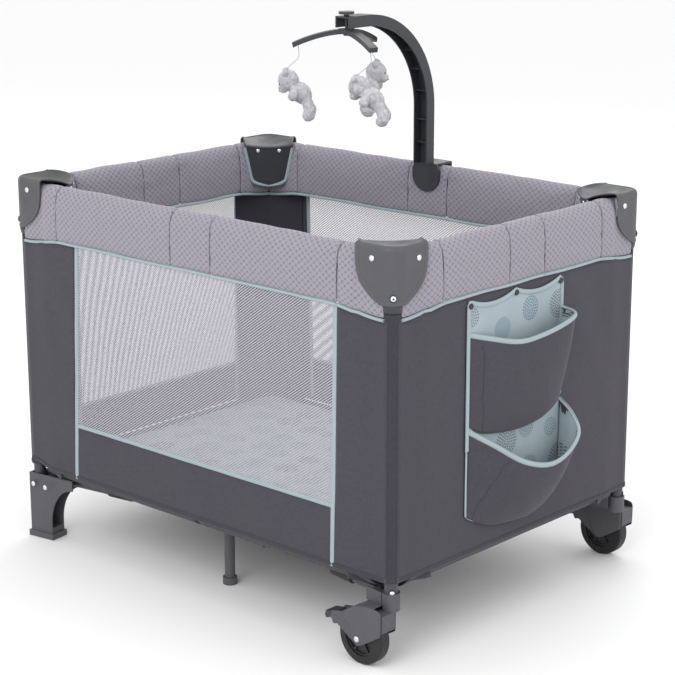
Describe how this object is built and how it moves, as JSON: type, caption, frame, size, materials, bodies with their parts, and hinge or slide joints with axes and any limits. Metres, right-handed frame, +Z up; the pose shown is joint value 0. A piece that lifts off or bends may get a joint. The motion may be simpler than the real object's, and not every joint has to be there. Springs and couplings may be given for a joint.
{
  "type": "travel play yard",
  "caption": "Rectangular folding play yard: steel tube frame, netting and fabric sides under padded top rails, folding mattress, casters, hanging organizer and clip-on mobile.",
  "frame": {"origin": "middle of the underside of the hub's foot, on the floor, at the centre of the four posts", "axes": "+Z up, X along the long sides with the casters at +X, Y along the short sides with the mobile's clamp at +Y"},
  "size_m": [1.0509, 0.75, 1.065],
  "materials": {
    "frame_steel": "satin dark grey powder coat",
    "plastic_grey": "moulded mid grey, fine grain",
    "plastic_dark": "moulded dark grey, fine grain",
    "wheel_tyre": "black tread rubber",
    "fabric_dark": "plain woven charcoal polyester",
    "fabric_pad": "lavender grey knit with a diamond lattice",
    "fabric_mattress": "pale blue grey woven cover with scattered dotted rosettes",
    "fabric_piping": "pale blue grey binding tape",
    "netting": "fine see-through netting",
    "plush": "white short pile plush",
    "button_red": "moulded red",
    "rivet_steel": "domed rivet"
  },
  "bodies": {
    "hub": {"hub_housing": "plastic_grey"},
    "cross_front": {"cross_tube_front": "frame_steel"},
    "cross_back": {"cross_tube_back": "frame_steel"},
    "bracket_front": {"leg_bracket_front": "plastic_grey"},
    "bracket_back": {"leg_bracket_back": "plastic_grey"},
    "tube_front_left": {"base_tube_front_left": "frame_steel"},
    "tube_front_right": {"base_tube_front_right": "frame_steel"},
    "tube_back_left": {"base_tube_back_left": "frame_steel"},
    "tube_back_right": {"base_tube_back_right": "frame_steel"},
    "leg_front_left": {"post_front_left": "frame_steel", "cap_front_left": "plastic_grey", "cap_inner_front_left": "plastic_dark", "foot_front_left": "plastic_grey", "side_front": "fabric_pad", "side_left": "fabric_dark"},
    "leg_front_right": {"post_front_right": "frame_steel", "cap_front_right": "plastic_grey", "cap_inner_front_right": "plastic_dark", "caster_housing_front": "plastic_grey", "side_right": "fabric_dark", "organizer": "fabric_dark"},
    "leg_back_left": {"post_back_left": "frame_steel", "cap_back_left": "plastic_grey", "cap_inner_back_left": "plastic_dark", "foot_back_left": "plastic_grey", "side_back": "fabric_pad"},
    "leg_back_right": {"post_back_right": "frame_steel", "cap_back_right": "plastic_grey", "cap_inner_back_right": "plastic_dark", "caster_housing_back": "plastic_grey"},
    "rail_front_l": {"rail_front_left": "frame_steel", "rail_lock_front": "plastic_dark"},
    "rail_front_r": {"rail_front_right": "frame_steel"},
    "rail_back_l": {"rail_back_left": "frame_steel", "rail_lock_back": "plastic_dark"},
    "rail_back_r": {"rail_back_right": "frame_steel"},
    "rail_left_f": {"rail_left_front": "frame_steel", "rail_lock_left": "plastic_dark"},
    "rail_left_b": {"rail_left_back": "frame_steel"},
    "rail_right_f": {"rail_right_front": "frame_steel", "rail_lock_right": "plastic_dark"},
    "rail_right_b": {"rail_right_back": "frame_steel"},
    "button_front": {"lock_button_front": "button_red"},
    "button_back": {"lock_button_back": "button_red"},
    "button_left": {"lock_button_left": "button_red"},
    "button_right": {"lock_button_right": "button_red"},
    "mattress_l": {"mattress_left": "fabric_mattress"},
    "mattress_r": {"mattress_right": "fabric_mattress"},
    "wheel_front": {"tyre_front": "wheel_tyre", "wheel_rim_front": "plastic_dark"},
    "wheel_back": {"tyre_back": "wheel_tyre", "wheel_rim_back": "plastic_dark"},
    "brake_front": {"brake_lever_front": "plastic_dark"},
    "brake_back": {"brake_lever_back": "plastic_dark"},
    "mobile": {"mobile_clamp": "plastic_dark", "mobile_arm": "plastic_dark"},
    "spinner": {"mobile_spinner": "plastic_dark"},
    "toy_1": {"toy_left": "plush"},
    "toy_2": {"toy_right": "plush"},
    "toy_3": {"toy_back": "plush"}
  },
  "joints": [
    {"name": "fold", "type": "hinge", "parent": "hub", "child": "cross_front", "pos_m": [0, -0.028, 0.126], "axis": [1, 0, 0], "range_deg": [0, 75], "deforming": ["side_front", "side_back", "side_left", "side_right", "organizer", "mattress_left", "mattress_right"]},
    {"name": "cross_back_hinge", "type": "hinge", "parent": "hub", "child": "cross_back", "pos_m": [0, 0.028, 0.126], "axis": [-1, 0, 0], "range_deg": [0, 75]},
    {"name": "bracket_front_hinge", "type": "hinge", "parent": "cross_front", "child": "bracket_front", "pos_m": [0, -0.237, 0.126], "axis": [-1, 0, 0], "range_deg": [0, 75]},
    {"name": "base_front_left_hinge", "type": "hinge", "parent": "bracket_front", "child": "tube_front_left", "pos_m": [-0.042, -0.257, 0.126], "axis": [0.1576, -0.9875, 0], "range_deg": [0, 75]},
    {"name": "leg_front_left_hinge", "type": "hinge", "parent": "tube_front_left", "child": "leg_front_left", "pos_m": [-0.443, -0.321, 0.126], "axis": [-0.1576, 0.9875, 0], "range_deg": [0, 75]},
    {"name": "base_front_right_hinge", "type": "hinge", "parent": "bracket_front", "child": "tube_front_right", "pos_m": [0.042, -0.257, 0.126], "axis": [0.1576, 0.9875, 0], "range_deg": [0, 75]},
    {"name": "leg_front_right_hinge", "type": "hinge", "parent": "tube_front_right", "child": "leg_front_right", "pos_m": [0.443, -0.321, 0.126], "axis": [-0.1576, -0.9875, 0], "range_deg": [0, 75]},
    {"name": "bracket_back_hinge", "type": "hinge", "parent": "cross_back", "child": "bracket_back", "pos_m": [0, 0.237, 0.126], "axis": [1, 0, 0], "range_deg": [0, 75]},
    {"name": "base_back_left_hinge", "type": "hinge", "parent": "bracket_back", "child": "tube_back_left", "pos_m": [-0.042, 0.257, 0.126], "axis": [-0.1576, -0.9875, 0], "range_deg": [0, 75]},
    {"name": "leg_back_left_hinge", "type": "hinge", "parent": "tube_back_left", "child": "leg_back_left", "pos_m": [-0.443, 0.321, 0.126], "axis": [0.1576, 0.9875, 0], "range_deg": [0, 75]},
    {"name": "base_back_right_hinge", "type": "hinge", "parent": "bracket_back", "child": "tube_back_right", "pos_m": [0.042, 0.257, 0.126], "axis": [-0.1576, 0.9875, 0], "range_deg": [0, 75]},
    {"name": "leg_back_right_hinge", "type": "hinge", "parent": "tube_back_right", "child": "leg_back_right", "pos_m": [0.443, 0.321, 0.126], "axis": [0.1576, -0.9875, 0], "range_deg": [0, 75]},
    {"name": "rail_front_l_hinge", "type": "hinge", "parent": "leg_front_left", "child": "rail_front_l", "pos_m": [-0.44, -0.335, 0.7], "axis": [0, 1, 0], "range_deg": [0, 71.07]},
    {"name": "rail_front_r_hinge", "type": "hinge", "parent": "leg_front_right", "child": "rail_front_r", "pos_m": [0.44, -0.335, 0.7], "axis": [0, -1, 0], "range_deg": [0, 71.07]},
    {"name": "rail_back_l_hinge", "type": "hinge", "parent": "leg_back_left", "child": "rail_back_l", "pos_m": [-0.44, 0.335, 0.7], "axis": [0, 1, 0], "range_deg": [0, 71.07]},
    {"name": "rail_back_r_hinge", "type": "hinge", "parent": "leg_back_right", "child": "rail_back_r", "pos_m": [0.44, 0.335, 0.7], "axis": [0, -1, 0], "range_deg": [0, 71.07]},
    {"name": "rail_left_f_hinge", "type": "hinge", "parent": "leg_front_left", "child": "rail_left_f", "pos_m": [-0.475, -0.3, 0.7], "axis": [-1, 0, 0], "range_deg": [0, 71.01]},
    {"name": "rail_left_b_hinge", "type": "hinge", "parent": "leg_back_left", "child": "rail_left_b", "pos_m": [-0.475, 0.3, 0.7], "axis": [1, 0, 0], "range_deg": [0, 71.01]},
    {"name": "rail_right_f_hinge", "type": "hinge", "parent": "leg_front_right", "child": "rail_right_f", "pos_m": [0.475, -0.3, 0.7], "axis": [-1, 0, 0], "range_deg": [0, 71.01]},
    {"name": "rail_right_b_hinge", "type": "hinge", "parent": "leg_back_right", "child": "rail_right_b", "pos_m": [0.475, 0.3, 0.7], "axis": [1, 0, 0], "range_deg": [0, 71.01]},
    {"name": "mattress_l_hinge", "type": "hinge", "parent": "hub", "child": "mattress_l", "pos_m": [-0.045, 0, 0.141], "axis": [0, -1, 0], "range_deg": [0, 75]},
    {"name": "mattress_r_hinge", "type": "hinge", "parent": "hub", "child": "mattress_r", "pos_m": [0.045, 0, 0.141], "axis": [0, 1, 0], "range_deg": [0, 75]},
    {"name": "button_front_press", "type": "slide", "parent": "rail_front_l", "child": "button_front", "axis": [0, 0, 1], "range_m": [0, 0.0035], "stiffness_N_per_m": 400, "springref_m": -0.002},
    {"name": "button_back_press", "type": "slide", "parent": "rail_back_l", "child": "button_back", "axis": [0, 0, 1], "range_m": [0, 0.0035], "stiffness_N_per_m": 400, "springref_m": -0.002},
    {"name": "button_left_press", "type": "slide", "parent": "rail_left_f", "child": "button_left", "axis": [0, 0, 1], "range_m": [0, 0.0035], "stiffness_N_per_m": 400, "springref_m": -0.002},
    {"name": "button_right_press", "type": "slide", "parent": "rail_right_f", "child": "button_right", "axis": [0, 0, 1], "range_m": [0, 0.0035], "stiffness_N_per_m": 400, "springref_m": -0.002},
    {"name": "wheel_front_roll", "type": "hinge", "parent": "leg_front_right", "child": "wheel_front", "pos_m": [0.433, -0.356, 0.049], "axis": [0, 1, 0], "continuous": true},
    {"name": "brake_front_press", "type": "hinge", "parent": "leg_front_right", "child": "brake_front", "pos_m": [0.378, -0.356, 0.077], "axis": [0, -1, 0], "range_deg": [0, 20]},
    {"name": "wheel_back_roll", "type": "hinge", "parent": "leg_back_right", "child": "wheel_back", "pos_m": [0.433, 0.356, 0.049], "axis": [0, 1, 0], "continuous": true},
    {"name": "brake_back_press", "type": "hinge", "parent": "leg_back_right", "child": "brake_back", "pos_m": [0.378, 0.356, 0.077], "axis": [0, -1, 0], "range_deg": [0, 20]},
    {"name": "mobile_lift_off", "type": "slide", "parent": "hub", "child": "mobile", "axis": [0, 0, 1], "range_m": [0, 0.12]},
    {"name": "spinner_turn", "type": "hinge", "parent": "mobile", "child": "spinner", "pos_m": [0, 0.0715, 1.033], "axis": [0, 0, 1], "continuous": true},
    {"name": "toy_left_swing", "type": "hinge", "parent": "spinner", "child": "toy_1", "pos_m": [-0.06614, 0.01195, 1.00156], "axis": [0.6691, -0.7431, 0], "range_deg": [-35, 35]},
    {"name": "toy_right_swing", "type": "hinge", "parent": "spinner", "child": "toy_2", "pos_m": [0.08464, 0.044, 1.00156], "axis": [0.309, 0.9511, 0], "range_deg": [-35, 35]},
    {"name": "toy_back_swing", "type": "hinge", "parent": "spinner", "child": "toy_3", "pos_m": [-0.0185, 0.15856, 1.00156], "axis": [-0.9781, -0.2079, 0], "range_deg": [-35, 35]}
  ],
  "couplings": [
    {"joint": "cross_back_hinge", "follows": "fold", "ratio": 1},
    {"joint": "bracket_front_hinge", "follows": "fold", "ratio": 1},
    {"joint": "base_front_left_hinge", "follows": "fold", "ratio": 1},
    {"joint": "leg_front_left_hinge", "follows": "fold", "ratio": 1},
    {"joint": "base_front_right_hinge", "follows": "fold", "ratio": 1},
    {"joint": "leg_front_right_hinge", "follows": "fold", "ratio": 1},
    {"joint": "bracket_back_hinge", "follows": "fold", "ratio": 1},
    {"joint": "base_back_left_hinge", "follows": "fold", "ratio": 1},
    {"joint": "leg_back_left_hinge", "follows": "fold", "ratio": 1},
    {"joint": "base_back_right_hinge", "follows": "fold", "ratio": 1},
    {"joint": "leg_back_right_hinge", "follows": "fold", "ratio": 1},
    {"joint": "rail_front_l_hinge", "follows": "fold", "ratio": 0.94752},
    {"joint": "rail_front_r_hinge", "follows": "fold", "ratio": 0.94752},
    {"joint": "rail_back_l_hinge", "follows": "fold", "ratio": 0.94752},
    {"joint": "rail_back_r_hinge", "follows": "fold", "ratio": 0.94752},
    {"joint": "rail_left_f_hinge", "follows": "fold", "ratio": 0.9467},
    {"joint": "rail_left_b_hinge", "follows": "fold", "ratio": 0.9467},
    {"joint": "rail_right_f_hinge", "follows": "fold", "ratio": 0.9467},
    {"joint": "rail_right_b_hinge", "follows": "fold", "ratio": 0.9467},
    {"joint": "mattress_l_hinge", "follows": "fold", "ratio": 1},
    {"joint": "mattress_r_hinge", "follows": "fold", "ratio": 1}
  ]
}
